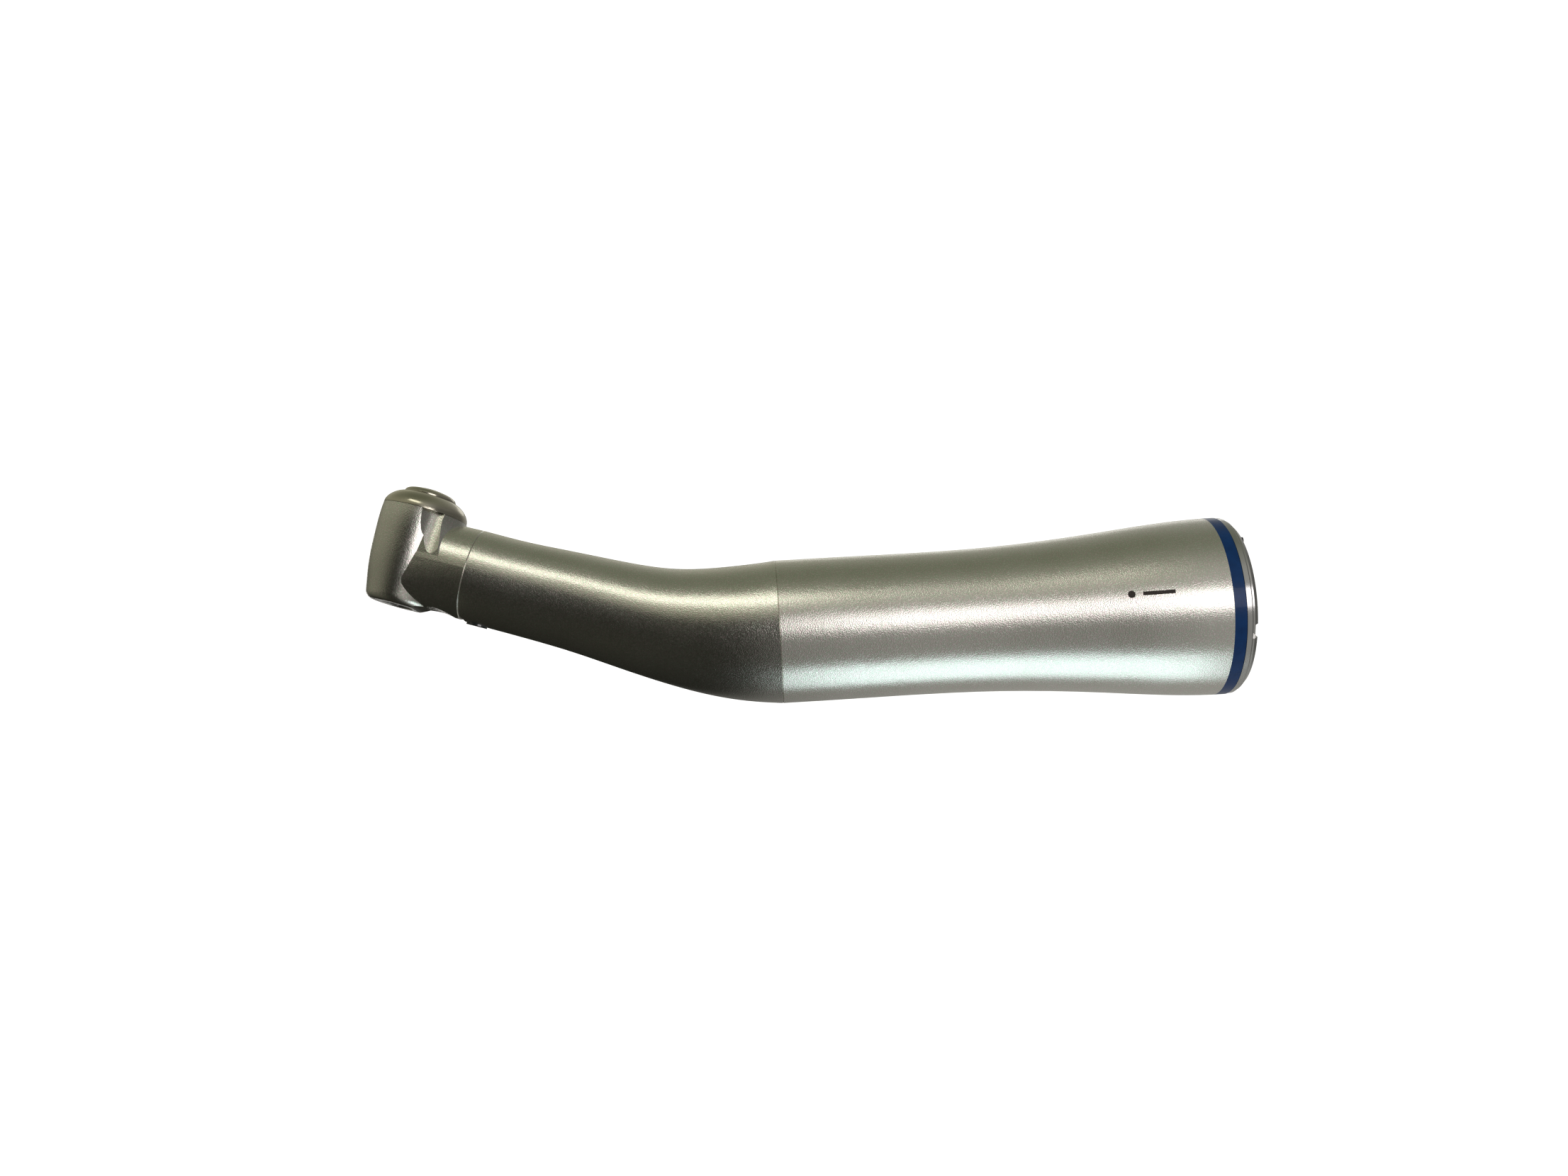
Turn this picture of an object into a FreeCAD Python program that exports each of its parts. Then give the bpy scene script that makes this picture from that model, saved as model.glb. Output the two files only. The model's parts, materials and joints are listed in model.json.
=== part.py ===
"""Contra-angle dental handpiece, 1:1, with a push-button chuck and light guide.

Frame: +X runs from the head towards the motor, +Z is up (the button's side) and the handle's
axis is the X axis. The origin is the centre of the rear end face, where the motor plugs in.
Three local frames carry the rest. In each, local z is the axis that the pieces turn about:
  HANDLE  origin at the rear face, local z = +X
  NECK    origin where the neck and head axes cross, local z rearwards along the neck
  HEAD    the same origin, local z up the head towards the button
All lengths are millimetres and all angles are degrees.
"""
import FreeCAD, Part
import math
import os
from FreeCAD import Vector

os.makedirs("parts", exist_ok=True)

# ---------------------------------------------------------------- driving dimensions
BEND = 18.0                     # neck axis against handle axis
SEAM_X = -51.2                  # joint between the rear sheath and the neck sheath
ELBOW_X = -59.3                 # where the handle and neck axes cross
NECK_LENGTH = 34.7              # elbow to head axis
HEAD_SEAM = 7.35                # joint between head housing and neck sheath, behind the head axis

# rear sheath: (radius, x) along its smooth outside
SHEATH_OUTSIDE = [(8.04, SEAM_X), (8.01, -39.3), (8.15, -27.3), (9.01, -15.3), (9.91, -5.3), (10.0, -2.75)]
SHEATH_BORE = 6.95              # clear bore that the inner assembly slides into
SHEATH_END_BORE = 8.56          # threaded bore for the end ring
SHEATH_END_DEPTH = -11.0        # where that bore stops
JOINT_RADIUS = 7.45             # socket for the neck sheath's spigot
JOINT_DEPTH = 6.0

RING_X = (-2.75, -1.46, -0.70, 0.0)   # colour ring, collar ring and end ring meet here
ENTRY_RADIUS = 7.9              # motor seat at the mouth
ENTRY_DEPTH = 7.0
NOSE_BORE = 5.0                 # motor nose
NOSE_BORE_END = -26.5
CLUTCH_POCKET = 4.2
CLUTCH_POCKET_END = -31.0
COUPLING_END = -33.0
COUPLING_TUBE = 5.75
NOTCH_WIDTH = 1.5
NOTCH_ANGLE = 115.5             # from the top towards -Y
PIN_ANGLE = 41.0

# neck sheath: (length along the bent centreline from the seam, outside radius, inside radius)
NECK_STATIONS = [(0.0, 8.04, 6.95), (3.2, 7.72, 6.80), (6.4, 7.32, 6.45), (9.6, 6.84, 6.02),
                 (12.9, 6.37, 5.60), (16.05, 6.03, 5.28), (19.3, 5.77, 5.05), (25.7, 5.43, 4.75),
                 (35.30, 5.20, 4.56)]

# head: (radius, height above the neck axis)
CAP_SEAM = 5.44
BARREL_SIDE = [(4.76, 5.40), (4.80, 4.10), (4.73, 2.10), (4.60, 0.10), (4.36, -1.90), (4.05, -3.50),
               (3.82, -4.60)]
BARREL_BOTTOM = [(3.54, -5.16), (2.84, -5.46)]
BARREL_BORE = 3.30
CAP_THREAD = 4.05
CAP_THREAD_END = 4.60
CAP_DOME = [(4.76, CAP_SEAM), (4.68, 5.94), (4.35, 6.49), (3.82, 6.97), (3.45, 7.18), (3.16, 7.29)]
CAP_MOUTH = 3.03
NECK_SEAM_RADIUS = 5.20
SEAM_BEVEL = 0.07
# Neck root of the head housing: behind the head axis, half width, top, bottom, squareness of the lower half
ROOT_STATIONS = [(0.6, 4.28, 5.05, 5.00, 3.6), (HEAD_SEAM, 5.20, 5.20, 5.20, 2.0)]
ROOT_POINTS = 32
FLARE_SIDE = [(4.80, 5.40), (4.86, 4.80), (5.48, 2.90), (5.86, 1.90), (6.16, 1.00), (6.28, 0.0)]
CHEEK_PLAN = [(0.6, 4.25), (HEAD_SEAM, 5.17)]
SCOOP_RADIUS = 2.10             # hollow on each cheek, on the line of its greatest depth
SCOOP_LINE = [(2.75, 4.56, 0.90), (2.70, 3.62, 5.30)]
CHIN = [(2.05, -5.46), (2.50, -5.23), (3.00, -5.07), (3.50, -4.94), (4.10, -4.84), (4.80, -4.82), (5.60, -4.92),
        (6.50, -5.12), (7.20, -5.34)]   # underside of the neck root, hollowed behind the nose
NOSE_RING = (1.72, 2.41)        # steel ring set into the nose around the chuck

# push button and chuck
BUTTON_RADIUS = 2.95
BUTTON_TOP = 8.28
BUTTON_DOME = [(2.95, 7.45), (2.80, 7.70), (2.00, 8.02), (1.00, 8.21)]
BUTTON_FLANGE = (3.40, 6.60, 6.86)      # radius, bottom, top
BUTTON_CAVITY = (2.55, 7.30)            # radius, ceiling
CAP_CAVITY = 3.50
CAP_LIP = 6.90                  # underside of the lip that keeps the button in
SHANK_RADIUS = 1.18             # running clearance round a 2.35 mm bur shank
SPINDLE_RADIUS = 1.5875
SPINDLE_BOTTOM = -5.36
SPINDLE_TOP = 5.90
COLLET_RADIUS = 1.38
COLLET_BOTTOM = -0.50
COLLET_TOP = 5.30

# shafts
DRIVE_SHAFT_RADIUS = 1.5
NECK_SHAFT_RADIUS = 1.25
RUNNING_GAP = 0.02              # radial gap between pieces that fit into each other

# bearings: bore radius, outer radius, width, ball radius, number of balls
DRIVE_BEARING = (1.5, 4.0, 3.0, 0.79, 7)
NECK_BEARING = (1.25, 3.0, 2.6, 0.50, 8)
HEAD_BEARING = (SPINDLE_RADIUS, 3.175, 1.80, 0.50, 8)
DRIVE_BEARINGS_AT = (-37.0, -54.0)      # lower end of each, along the handle frame
NECK_BEARINGS_AT = (3.5, 28.6)
HEAD_BEARINGS_AT = (-4.75, 3.30)

# gears: teeth, module, pressure angle and thinning of each tooth for backlash
ELBOW_TEETH, HEAD_TEETH = 16, 13
ELBOW_PITCH_RADIUS = 3.2
HEAD_PITCH_RADIUS = 2.55
PRESSURE_ANGLE = 20.0
BACKLASH = 0.05

# services along the inside: radial place in the handle, at the elbow and in the neck
SERVICE_RADII = (6.35, 4.57, 4.02)
LIGHT_ANGLE, WATER_ANGLE, AIR_ANGLE = 180.0, 140.0, 220.0
LIGHT_GUIDE_RADIUS = 0.48
TUBE_RADIUS, TUBE_BORE = 0.40, 0.25
SERVICE_FRONT = 8.75

# ---------------------------------------------------------------- local frames
bend = math.radians(BEND)
ORIGIN, RIGHT, UP = Vector(0, 0, 0), Vector(1, 0, 0), Vector(0, 0, 1)
NECK_BACK = Vector(math.cos(bend), 0, -math.sin(bend))
HEAD_UP = Vector(math.sin(bend), 0, math.cos(bend))
ELBOW = Vector(ELBOW_X, 0, 0)
HEAD_CENTRE = ELBOW - NECK_BACK * NECK_LENGTH


def frame(origin, x_dir, z_dir):
    """Placement that carries local x and z onto the given directions."""
    return FreeCAD.Placement(origin, FreeCAD.Rotation(x_dir, z_dir.cross(x_dir), z_dir, "ZXY"))


HANDLE = frame(ORIGIN, UP, RIGHT)
NECK = frame(HEAD_CENTRE, HEAD_UP, NECK_BACK)
HEAD = frame(HEAD_CENTRE, NECK_BACK, HEAD_UP)
ELBOW_REAR = frame(ELBOW, UP, RIGHT)
ELBOW_FRONT = frame(ELBOW, HEAD_UP, NECK_BACK * -1)


def placed(shape, where):
    """The shape moved from a local frame into the row frame."""
    copy = shape.copy()
    copy.Placement = where.multiply(copy.Placement)
    return copy


def export(node, shape, where=None):
    """Write one node as a STEP file."""
    solid = placed(shape, where) if where else shape
    solid.exportStep("parts/" + node + ".step")


# ---------------------------------------------------------------- shapes
def polar(radius, angle, z):
    """Local point at an angle about local z, counted from local x towards local y."""
    turn = math.radians(angle)
    return Vector(radius * math.cos(turn), radius * math.sin(turn), z)


def section_edges(points):
    """Straight edges through (radius, z) points."""
    corners = [Vector(r, 0, z) for r, z in points]
    return [Part.makeLine(a, b) for a, b in zip(corners, corners[1:])]


def smooth_edge(points):
    """One smooth curve through (radius, z) points."""
    curve = Part.BSplineCurve()
    curve.interpolate([Vector(r, 0, z) for r, z in points])
    return curve.toShape()


def turned_wire(edges):
    """Solid of revolution about local z from the edges of a closed half section."""
    solid = Part.Face(Part.Wire(edges)).revolve(ORIGIN, UP, 360)
    return solid if solid.Volume > 0 else solid.reversed()


def turned(points):
    """Solid of revolution from a closed outline of (radius, z) corners."""
    return turned_wire(section_edges(points + points[:1]))


def tube(outer, inner, low, high):
    """Plain round tube along local z."""
    return turned([(inner, low), (outer, low), (outer, high), (inner, high)])


def rod(radius, low, high, centre=ORIGIN):
    """Plain round rod along local z."""
    return Part.makeCylinder(radius, high - low, centre + Vector(0, 0, low))


def bar_hole(radius, depth, origin, direction):
    """Straight round drilling from a point along a direction."""
    return Part.makeCylinder(radius, depth, origin, direction)


def coil_spring(wire, radius, turns, low, high):
    """Helical spring of six-sided wire about local z."""
    steps_per_turn = 14
    steps = steps_per_turn * turns
    sections = []
    for step in range(steps + 1):
        angle = 360.0 * step / steps_per_turn
        centre = polar(radius, angle, low + (high - low) * step / steps)
        outward = polar(1, angle, 0)
        corners = [centre + (outward * math.cos(side * math.pi / 3) + UP * math.sin(side * math.pi / 3)) * wire
                   for side in range(6)]
        sections.append(Part.makePolygon(corners + corners[:1]))
    return Part.makeLoft(sections, True, True)


# ---------------------------------------------------------------- bevel gears
def involute_half_space(radius, virtual_pitch, virtual_teeth):
    """Half angle of the tooth space of the virtual spur gear at a radius."""
    pressure = math.radians(PRESSURE_ANGLE)
    base = virtual_pitch * math.cos(pressure)
    local = math.acos(base / radius) if radius > base else 0.0
    tooth = math.pi / (2 * virtual_teeth) - BACKLASH / (2 * virtual_pitch)
    tooth += (math.tan(pressure) - pressure) - (math.tan(local) - local)
    return math.pi / virtual_teeth - tooth


def bevel_gear(teeth, pitch_radius, cone, face_width, bore, hub_radius, hub_end, web, space_first):
    """Straight bevel gear about local z with its apex at the local origin.

    The tooth at local x is replaced by a space when space_first is true, so that a pair meshes.
    """
    half = math.radians(cone)
    cone_length = pitch_radius / math.sin(half)
    module = 2 * pitch_radius / teeth
    addendum, dedendum = 0.85 * module, 1.10 * module
    element = Vector(math.sin(half), 0, math.cos(half))
    outward = Vector(math.cos(half), 0, -math.sin(half))
    tip = element * cone_length + outward * addendum
    toe_scale = (cone_length - face_width) / cone_length
    toe = tip * toe_scale
    toe_root = (element * cone_length - outward * (dedendum + 0.03)) * toe_scale
    back = element * cone_length - outward * (dedendum + web)
    blank = turned([(bore, toe_root.z), (toe_root.x, toe_root.z), (toe.x, toe.z), (tip.x, tip.z),
                    (back.x, back.z), (hub_radius, back.z), (hub_radius, hub_end), (bore, hub_end)])
    virtual_pitch = cone_length * math.tan(half)
    virtual_teeth = teeth / math.cos(half)
    centre = element * cone_length - outward * virtual_pitch
    low, high = virtual_pitch - dedendum, virtual_pitch + 1.3 * module
    radii = [low + (high - low) * step / 4 for step in range(5)]
    flank = [(r, involute_half_space(r, virtual_pitch, virtual_teeth)) for r in radii]
    outline = [(r, angle) for r, angle in flank] + [(r, -angle) for r, angle in reversed(flank)]
    corners = [centre + outward * (r * math.cos(a)) + Vector(0, r * math.sin(a), 0) for r, a in outline]
    wires = []
    for scale in (1.15, 0.85 * toe_scale):
        ring = [corner * scale for corner in corners]
        wires.append(Part.makePolygon(ring + ring[:1]))
    cutter = Part.makeLoft(wires, True, True)
    first = 0.0 if space_first else 180.0 / teeth
    cutters = []
    for number in range(teeth):
        tool = cutter.copy()
        tool.rotate(ORIGIN, UP, first + 360.0 * number / teeth)
        cutters.append(tool)
    return blank.cut(Part.makeCompound(cutters)).Solids[0]


# ---------------------------------------------------------------- ball bearings
def bearing_rings(spec, low):
    """Outer and inner ring of a ball bearing, each with its ball groove."""
    bore, outer, width, ball, _ = spec
    pitch = (bore + outer) / 2
    middle = low + width / 2
    groove = Part.makeTorus(pitch, ball + RUNNING_GAP, Vector(0, 0, middle), UP)
    land = 0.55 * ball
    outer_ring = tube(outer, pitch + land, low, low + width).cut(groove)
    inner_ring = tube(pitch - land, bore, low, low + width).cut(groove)
    return outer_ring, inner_ring


def bearing_balls(spec, low):
    """The balls of one bearing as a list of solids."""
    bore, outer, width, ball, count = spec
    pitch = (bore + outer) / 2
    return [Part.makeSphere(ball, polar(pitch, 360.0 * (number + 0.5) / count, low + width / 2))
            for number in range(count)]


def bearing_cage(spec, low):
    """Ring between the races with a round pocket through it at each ball."""
    bore, outer, width, ball, count = spec
    pitch = (bore + outer) / 2
    middle = low + width / 2
    reach = 0.42 * ball
    cage = tube(pitch + reach, pitch - reach, middle - 1.3 * ball, middle + 1.3 * ball)
    for number in range(count):
        angle = 360.0 * (number + 0.5) / count
        inside, outside = polar(pitch - 2 * reach, angle, middle), polar(pitch + 2 * reach, angle, middle)
        cage = cage.cut(bar_hole(ball + 0.04, 4 * reach, inside, outside - inside))
    return cage


def export_bearings(name, spec, places, labels, where):
    """Write the rings, the balls and the cages of the two bearings on one shaft."""
    balls, cages = [], []
    for low, label in zip(places, labels):
        outer_ring, inner_ring = bearing_rings(spec, low)
        export(f"{name}_bearing_{label}_outer_ring", outer_ring, where)
        export(f"{name}_bearing_{label}_inner_ring", inner_ring, where)
        balls += bearing_balls(spec, low)
        cages.append(bearing_cage(spec, low))
    export(f"{name}_bearing_balls", Part.makeCompound(balls), where)
    export(f"{name}_bearing_cages", Part.makeCompound(cages), where)


# ---------------------------------------------------------------- services (light, water, air)
def service_route(angle, front):
    """Corner points of a service line, from the coupling flange to the head."""
    handle, elbow, neck = SERVICE_RADII
    route = [HANDLE.multVec(polar(handle, angle, -ENTRY_DEPTH)), HANDLE.multVec(polar(handle, angle, -49.0)),
             NECK.multVec(polar(elbow, angle, 34.4)), NECK.multVec(polar(neck, angle, 26.0)),
             NECK.multVec(polar(neck, angle, front))]
    return route


def rounded_path(points, radius):
    """Straight runs joined by tangent arcs."""
    edges, start = [], points[0]
    for before, corner, after in zip(points, points[1:], points[2:]):
        come, leave = (corner - before).normalize(), (after - corner).normalize()
        turn = come.getAngle(leave)
        cut = radius * math.tan(turn / 2)
        first, last = corner - come * cut, corner + leave * cut
        inward = (leave - come).normalize()
        middle = corner + inward * (radius / math.cos(turn / 2) - radius)
        edges.append(Part.makeLine(start, first))
        edges.append(Part.Arc(first, middle, last).toShape())
        start = last
    edges.append(Part.makeLine(start, points[-1]))
    return Part.Wire(edges)


def service_line(angle, front, radius, bore=0.0):
    """Round rod or tube along a service route."""
    path = rounded_path(service_route(angle, front), 24.0)
    start, heading = path.Edges[0].valueAt(0), path.Edges[0].tangentAt(0)
    solids = []
    for size in (radius, bore):
        if size:
            ring = Part.Wire(Part.makeCircle(size, start, heading))
            solids.append(path.makePipeShell([ring], True, False))
    return solids[0].cut(solids[1]) if bore else solids[0]


# ---------------------------------------------------------------- rear end
def make_rear_sheath():
    edges = [smooth_edge(SHEATH_OUTSIDE)]
    end_radius, end_x = SHEATH_OUTSIDE[-1]
    edges += section_edges([(end_radius, end_x), (SHEATH_END_BORE, end_x), (SHEATH_END_BORE, SHEATH_END_DEPTH),
                            (SHEATH_BORE, SHEATH_END_DEPTH - 1.2), (SHEATH_BORE, SEAM_X + JOINT_DEPTH),
                            (JOINT_RADIUS, SEAM_X + JOINT_DEPTH), (JOINT_RADIUS, SEAM_X),
                            SHEATH_OUTSIDE[0]])
    export("rear_sheath", turned_wire(edges).cut(seam_bevels(SHEATH_OUTSIDE[0][0], SEAM_X)), HANDLE)


def make_rings():
    colour, collar, end, face = RING_X
    export("colour_ring", tube(10.0, SHEATH_END_BORE, colour, collar), HANDLE)
    export("collar_ring", turned([(SHEATH_END_BORE, collar), (9.84, collar), (9.92, collar + 0.10),
                                  (9.92, end - 0.14), (9.78, end), (SHEATH_END_BORE, end)]), HANDLE)
    skirt = SHEATH_END_BORE - 2 * RUNNING_GAP
    ring = turned([(ENTRY_RADIUS, -ENTRY_DEPTH), (skirt, -ENTRY_DEPTH), (skirt, end), (9.70, end),
                   (9.70, end + 0.22), (9.20, face), (ENTRY_RADIUS, face)])
    for angle in (NOTCH_ANGLE, NOTCH_ANGLE + 180):
        notch = Part.makeBox(1.4, NOTCH_WIDTH, 0.7, Vector(8.55, -NOTCH_WIDTH / 2, end + 0.03))
        notch.rotate(ORIGIN, UP, angle)
        ring = ring.cut(notch)
    pin_place = polar(8.45, PIN_ANGLE, 0)
    ring = ring.cut(rod(0.42, end, face + 0.1, pin_place))
    export("end_ring", ring, HANDLE)
    export("locating_pin", rod(0.38, end, face + 0.42, pin_place), HANDLE)


def service_holes(radius, low, high):
    """The three holes that let the services through a flange of the handle."""
    size = {LIGHT_ANGLE: LIGHT_GUIDE_RADIUS, WATER_ANGLE: TUBE_RADIUS, AIR_ANGLE: TUBE_RADIUS}
    return Part.makeCompound([rod(size[angle] + 0.03, low, high, polar(radius, angle, 0)) for angle in size])


def make_coupling_body():
    flange = SHEATH_END_BORE - RUNNING_GAP
    mouth = (5.7, -ENTRY_DEPTH - 1.6)
    body = turned([(NOSE_BORE, NOSE_BORE_END), (NOSE_BORE, mouth[1]), mouth, (mouth[0], -ENTRY_DEPTH),
                   (flange, -ENTRY_DEPTH), (flange, SHEATH_END_DEPTH), (COUPLING_TUBE, SHEATH_END_DEPTH),
                   (COUPLING_TUBE, COUPLING_END), (2.0, COUPLING_END), (2.0, CLUTCH_POCKET_END),
                   (CLUTCH_POCKET, CLUTCH_POCKET_END), (CLUTCH_POCKET, NOSE_BORE_END)])
    body = body.cut(service_holes(SERVICE_RADII[0], SHEATH_END_DEPTH - 0.1, -ENTRY_DEPTH + 0.1))
    export("coupling_body", body, HANDLE)
    clip = turned_wire([Part.makeCircle(0.26, Vector(5.36, 0, -7.9), Vector(0, 1, 0))])
    opening = Part.makeBox(3, 3, 1, Vector(4, -1.5, -8.4))
    export("coupling_clip", clip.cut(opening), HANDLE)


def make_shaft_carrier():
    rear, front = DRIVE_BEARINGS_AT
    outer, width = DRIVE_BEARING[1] + RUNNING_GAP, DRIVE_BEARING[2]
    body = turned([(outer, COUPLING_END), (SHEATH_BORE - RUNNING_GAP, COUPLING_END),
                   (SHEATH_BORE - RUNNING_GAP, -36.0), (5.6, -36.0), (5.6, -43.5), (6.85, -43.5), (6.85, -45.0),
                   (5.6, -45.0), (5.5, -47.5), (4.55, -51.5), (4.55, front), (outer, front), (outer, front + width),
                    (3.4, front + width),
                   (3.4, rear), (outer, rear)])
    body = body.cut(service_holes(SERVICE_RADII[0], -46.0, COUPLING_END + 0.1))
    export("shaft_carrier", body, HANDLE)


def make_drive_shaft():
    rear, front = DRIVE_BEARINGS_AT
    export("drive_shaft", turned([(0, -29.6), (1.3, -29.6), (DRIVE_SHAFT_RADIUS, -29.8), (DRIVE_SHAFT_RADIUS, rear),
                                  (1.95, rear), (1.95, rear - 0.8), (DRIVE_SHAFT_RADIUS, rear - 0.8),
                                  (DRIVE_SHAFT_RADIUS, -57.9), (0, -57.9)]), HANDLE)
    dog = tube(3.2, DRIVE_SHAFT_RADIUS, -30.7, -29.3)
    for angle in (0, 180):
        claw = Part.makeBox(1.3, 1.5, 2.2, Vector(1.8, -0.75, -29.4))
        claw.rotate(ORIGIN, UP, angle)
        dog = dog.fuse(claw)
    dog = dog.fuse(tube(1.92, DRIVE_SHAFT_RADIUS, -34.0, -30.7)).removeSplitter()
    export("drive_dog", dog, HANDLE)
    gear = bevel_gear(ELBOW_TEETH, ELBOW_PITCH_RADIUS, 90 - BEND / 2, 1.15, DRIVE_SHAFT_RADIUS, 2.1,
                      DRIVE_BEARINGS_AT[1] - ELBOW_X, 0.75, False)
    export("drive_gear", gear, ELBOW_REAR)


# ---------------------------------------------------------------- neck
def neck_station(length):
    """Centre and direction of the neck's bent centreline at a length from the seam."""
    tangent = SEAM_X - ELBOW_X
    radius = tangent / math.tan(bend / 2)
    if length < radius * bend:
        turn = length / radius
        centre = Vector(SEAM_X - radius * math.sin(turn), 0, radius * (1 - math.cos(turn)))
        return centre, Vector(-math.cos(turn), 0, math.sin(turn))
    return ELBOW - NECK_BACK * (tangent + length - radius * bend), NECK_BACK * -1


def neck_loft(column):
    """Smooth solid through the neck's round stations."""
    rings = []
    for station in NECK_STATIONS:
        centre, heading = neck_station(station[0])
        rings.append(Part.Wire(Part.makeCircle(station[column], centre, heading)))
    return Part.makeLoft(rings, True, False)


def seam_groove():
    """Crescent-shaped relief under the head seam, in the neck frame."""
    return bar_hole(0.42, 12, Vector(-NECK_SEAM_RADIUS - 0.20, -6, HEAD_SEAM + 0.15), Vector(0, 1, 0))


def seam_bevels(radius, at):
    """Ring cutter that bevels both pieces at a joint."""
    depth, wide = SEAM_BEVEL, 3 * SEAM_BEVEL
    mouth = radius + wide - depth
    return turned([(radius - depth, at), (mouth, at - wide), (mouth, at + wide)])


def window_prism(grow, low, high):
    """Elliptical prism through the underside of the neck, in the neck frame."""
    ellipse = Part.Ellipse(ORIGIN, 1.20 + grow, 0.85 + grow).toShape()
    ellipse.rotate(ORIGIN, Vector(0, 1, 0), -90)
    ellipse.translate(Vector(-low, 0, 9.30))
    return Part.Face(Part.Wire(ellipse)).extrude(Vector(low - high, 0, 0))


def make_neck_sheath():
    shell = neck_loft(1).cut(neck_loft(2))
    spigot_end = SEAM_X + JOINT_DEPTH - 0.1
    spigot = placed(tube(JOINT_RADIUS - RUNNING_GAP, SHEATH_BORE, SEAM_X - 0.3, spigot_end), HANDLE)
    shell = shell.fuse(spigot)
    shell = shell.cut(placed(seam_groove(), NECK)).cut(placed(window_prism(0.02, 4.0, 6.0), NECK))
    shell = shell.cut(placed(seam_bevels(NECK_SEAM_RADIUS, HEAD_SEAM), NECK))
    shell = shell.cut(placed(seam_bevels(NECK_STATIONS[0][1], SEAM_X), HANDLE))
    export("neck_sheath", shell.Solids[0])
    lens = window_prism(0.0, 4.60, 5.9).common(rod(NECK_SEAM_RADIUS + 0.30, 7.0, 12.0))
    export("light_window", lens.Solids[0], NECK)


def make_neck_sleeve():
    front, rear = NECK_BEARINGS_AT
    seat = NECK_BEARING[1] + RUNNING_GAP
    body = turned([(2.4, 6.60), (3.42, 6.60), (3.42, 24.5), (4.66, 24.5), (4.66, 26.0), (3.42, 26.0),
                   (3.42, rear + NECK_BEARING[2]), (seat, rear + NECK_BEARING[2]), (seat, rear), (2.4, rear)])
    size = {LIGHT_ANGLE: LIGHT_GUIDE_RADIUS, WATER_ANGLE: TUBE_RADIUS, AIR_ANGLE: TUBE_RADIUS}
    for angle in size:
        hole = rod(size[angle] + 0.09, 24.0, 26.5, polar(SERVICE_RADII[2], angle, 0))
        half = size[angle] + 0.09
        slot = Part.makeBox(1.2, 2 * half, 2.5, Vector(SERVICE_RADII[2], -half, 24.0))
        slot.rotate(ORIGIN, UP, angle)
        body = body.cut(hole).cut(slot)
    export("neck_sleeve", body, NECK)
    clip = tube(3.38, 2.70, front + NECK_BEARING[2], 6.56)
    clip = clip.cut(Part.makeBox(2, 1.6, 2, Vector(2, -0.8, 5.5)))
    export("neck_bearing_clip", clip, NECK)


def make_neck_shaft():
    front, rear = NECK_BEARINGS_AT
    shoulder = front + NECK_BEARING[2]
    export("neck_shaft", turned([(0, 1.95), (NECK_SHAFT_RADIUS, 1.95), (NECK_SHAFT_RADIUS, shoulder),
                                 (1.7, shoulder), (1.7, shoulder + 0.7), (NECK_SHAFT_RADIUS, shoulder + 0.7),
                                 (NECK_SHAFT_RADIUS, rear - 0.7), (1.7, rear - 0.7), (1.7, rear),
                                 (NECK_SHAFT_RADIUS, rear), (NECK_SHAFT_RADIUS, 33.7), (0, 33.7)]), NECK)
    gear = bevel_gear(ELBOW_TEETH, ELBOW_PITCH_RADIUS, 90 - BEND / 2, 1.15, NECK_SHAFT_RADIUS, 1.75,
                      NECK_LENGTH - rear - NECK_BEARING[2], 0.75, True)
    export("neck_gear", gear, ELBOW_FRONT)
    pinion = bevel_gear(HEAD_TEETH, HEAD_PITCH_RADIUS, 45, 0.80, NECK_SHAFT_RADIUS, 1.70, front, 0.5, False)
    export("pinion_gear", pinion, NECK)


# ---------------------------------------------------------------- head
def root_ring(station):
    """Closed section of the head's neck root, in the neck frame: oval above, squarer below."""
    behind, half_width, top, bottom, squareness = station
    points = []
    for step in range(ROOT_POINTS):
        angle = 2 * math.pi * step / ROOT_POINTS
        across, up = math.cos(angle), math.sin(angle)
        power, height = (2.0, top) if up >= 0 else (squareness, bottom)
        reach = (abs(across / half_width) ** power + abs(up / height) ** power) ** (-1 / power)
        points.append(Vector(up * reach, across * reach, behind))
    curve = Part.BSplineCurve()
    curve.interpolate(points, PeriodicFlag=True)
    return Part.Wire(curve.toShape())


def head_flare():
    """Cheeks that widen the barrel's back down to the neck, with straight sides."""
    edges = [smooth_edge(FLARE_SIDE)]
    edges += section_edges([FLARE_SIDE[-1], (0, FLARE_SIDE[-1][1]), (0, FLARE_SIDE[0][1]), FLARE_SIDE[0]])
    corners = []
    for side in (1, -1):
        front, rear = [Vector(behind, side * half_width, -1) for behind, half_width in CHEEK_PLAN]
        corners += [front, rear] if side > 0 else [rear, front]
    plan = Part.Face(Part.makePolygon(corners + corners[:1])).extrude(Vector(0, 0, 8))
    return turned_wire(edges).common(plan)


def scoop(side):
    """Leaning round cutter that hollows one cheek between barrel and neck."""
    low, high = [Vector(behind, side * (across + SCOOP_RADIUS), up) for behind, across, up in SCOOP_LINE]
    heading = high - low
    return Part.makeCylinder(SCOOP_RADIUS, 3 * heading.Length, low - heading, heading)


def chin_cutter():
    """Block under the neck root whose top follows the chin."""
    edges = [smooth_edge(CHIN)]
    edges += section_edges([CHIN[-1], (CHIN[-1][0], -7.0), (CHIN[0][0], -7.0), CHIN[0]])
    face = Part.Face(Part.Wire(edges))
    face.translate(Vector(0, -6, 0))
    return face.extrude(Vector(0, 12, 0))


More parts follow.
